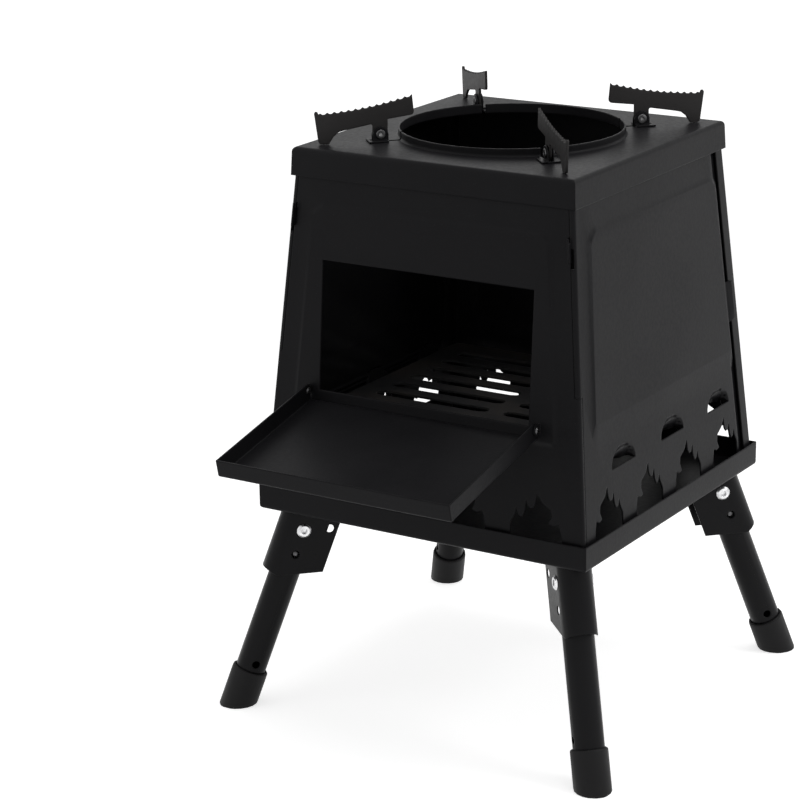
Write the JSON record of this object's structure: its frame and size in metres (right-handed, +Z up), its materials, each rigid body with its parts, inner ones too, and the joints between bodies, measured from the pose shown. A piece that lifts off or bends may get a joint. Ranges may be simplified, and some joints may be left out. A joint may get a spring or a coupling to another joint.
{
  "type": "tent wood stove",
  "caption": "Small square tent wood stove: tray on folding legs, leaning sheet walls with flame cut-outs, a fold-down door, and a lid with hinged pot supports.",
  "frame": {"origin": "on the ground, at the middle of the box round the stove with its door open", "axes": "+Z up, -Y towards the door's front rim, +X to the right seen from the front"},
  "size_m": [0.3626, 0.4516, 0.4999],
  "materials": {
    "powder_coat": "black satin powder coat with a fine grain",
    "rivet_steel": "plated steel, dulled",
    "foot_rubber": "matt black rubber",
    "grate_coat": "matt black heat-proof coat"
  },
  "bodies": {
    "root": {"tray": "powder_coat", "front_panel": "powder_coat", "right_panel": "powder_coat", "back_panel": "powder_coat", "left_panel": "powder_coat", "charcoal_grate": "grate_coat", "door_pin_left": "rivet_steel", "door_pin_right": "rivet_steel", "leg_socket_fr": "powder_coat", "leg_pivot_fr": "rivet_steel", "leg_socket_br": "powder_coat", "leg_pivot_br": "rivet_steel", "leg_socket_bl": "powder_coat", "leg_pivot_bl": "rivet_steel", "leg_socket_fl": "powder_coat", "leg_pivot_fl": "rivet_steel"},
    "lid": {"lid": "powder_coat", "pot_bracket_fr": "powder_coat", "pot_rivet_fr": "rivet_steel", "pot_bracket_br": "powder_coat", "pot_rivet_br": "rivet_steel", "pot_bracket_bl": "powder_coat", "pot_rivet_bl": "rivet_steel", "pot_bracket_fl": "powder_coat", "pot_rivet_fl": "rivet_steel"},
    "door": {"door": "powder_coat"},
    "support_fr": {"pot_support_fr": "powder_coat"},
    "leg_fr": {"leg_tube_fr": "powder_coat", "leg_foot_fr": "foot_rubber"},
    "button_fr": {"leg_button_fr": "rivet_steel"},
    "support_br": {"pot_support_br": "powder_coat"},
    "leg_br": {"leg_tube_br": "powder_coat", "leg_foot_br": "foot_rubber"},
    "button_br": {"leg_button_br": "rivet_steel"},
    "support_bl": {"pot_support_bl": "powder_coat"},
    "leg_bl": {"leg_tube_bl": "powder_coat", "leg_foot_bl": "foot_rubber"},
    "button_bl": {"leg_button_bl": "rivet_steel"},
    "support_fl": {"pot_support_fl": "powder_coat"},
    "leg_fl": {"leg_tube_fl": "powder_coat", "leg_foot_fl": "foot_rubber"},
    "button_fl": {"leg_button_fl": "rivet_steel"}
  },
  "joints": [
    {"name": "door_hinge", "type": "hinge", "parent": "root", "child": "door", "pos_m": [0, -0.10131, 0.2735], "axis": [-1, 0, 0], "range_deg": [0, 107.3]},
    {"name": "lid_lift", "type": "slide", "parent": "root", "child": "lid", "axis": [0, 0, 1], "range_m": [0, 0.08]},
    {"name": "support_flip_fr", "type": "hinge", "parent": "lid", "child": "support_fr", "pos_m": [0.0758, -0.0313, 0.47], "axis": [-0.7071, -0.7071, 0], "range_deg": [0, 180]},
    {"name": "leg_fold_fr", "type": "hinge", "parent": "root", "child": "leg_fr", "pos_m": [0.12622, -0.08172, 0.15], "axis": [0.7071, 0.7071, 0], "range_deg": [0, 110.5]},
    {"name": "button_press_fr", "type": "slide", "parent": "leg_fr", "child": "button_fr", "axis": [0.7071, 0.7071, 0], "range_m": [0, 0.003], "stiffness_N_per_m": 400},
    {"name": "support_flip_br", "type": "hinge", "parent": "lid", "child": "support_br", "pos_m": [0.0758, 0.1203, 0.47], "axis": [0.7071, -0.7071, 0], "range_deg": [0, 180]},
    {"name": "leg_fold_br", "type": "hinge", "parent": "root", "child": "leg_br", "pos_m": [0.12622, 0.17072, 0.15], "axis": [-0.7071, 0.7071, 0], "range_deg": [0, 110.5]},
    {"name": "button_press_br", "type": "slide", "parent": "leg_br", "child": "button_br", "axis": [-0.7071, 0.7071, 0], "range_m": [0, 0.003], "stiffness_N_per_m": 400},
    {"name": "support_flip_bl", "type": "hinge", "parent": "lid", "child": "support_bl", "pos_m": [-0.0758, 0.1203, 0.47], "axis": [0.7071, 0.7071, 0], "range_deg": [0, 180]},
    {"name": "leg_fold_bl", "type": "hinge", "parent": "root", "child": "leg_bl", "pos_m": [-0.12622, 0.17072, 0.15], "axis": [-0.7071, -0.7071, 0], "range_deg": [0, 110.5]},
    {"name": "button_press_bl", "type": "slide", "parent": "leg_bl", "child": "button_bl", "axis": [0.7071, 0.7071, 0], "range_m": [0, 0.003], "stiffness_N_per_m": 400},
    {"name": "support_flip_fl", "type": "hinge", "parent": "lid", "child": "support_fl", "pos_m": [-0.0758, -0.0313, 0.47], "axis": [-0.7071, 0.7071, 0], "range_deg": [0, 180]},
    {"name": "leg_fold_fl", "type": "hinge", "parent": "root", "child": "leg_fl", "pos_m": [-0.12622, -0.08172, 0.15], "axis": [0.7071, -0.7071, 0], "range_deg": [0, 110.5]},
    {"name": "button_press_fl", "type": "slide", "parent": "leg_fl", "child": "button_fl", "axis": [-0.7071, 0.7071, 0], "range_m": [0, 0.003], "stiffness_N_per_m": 400}
  ]
}
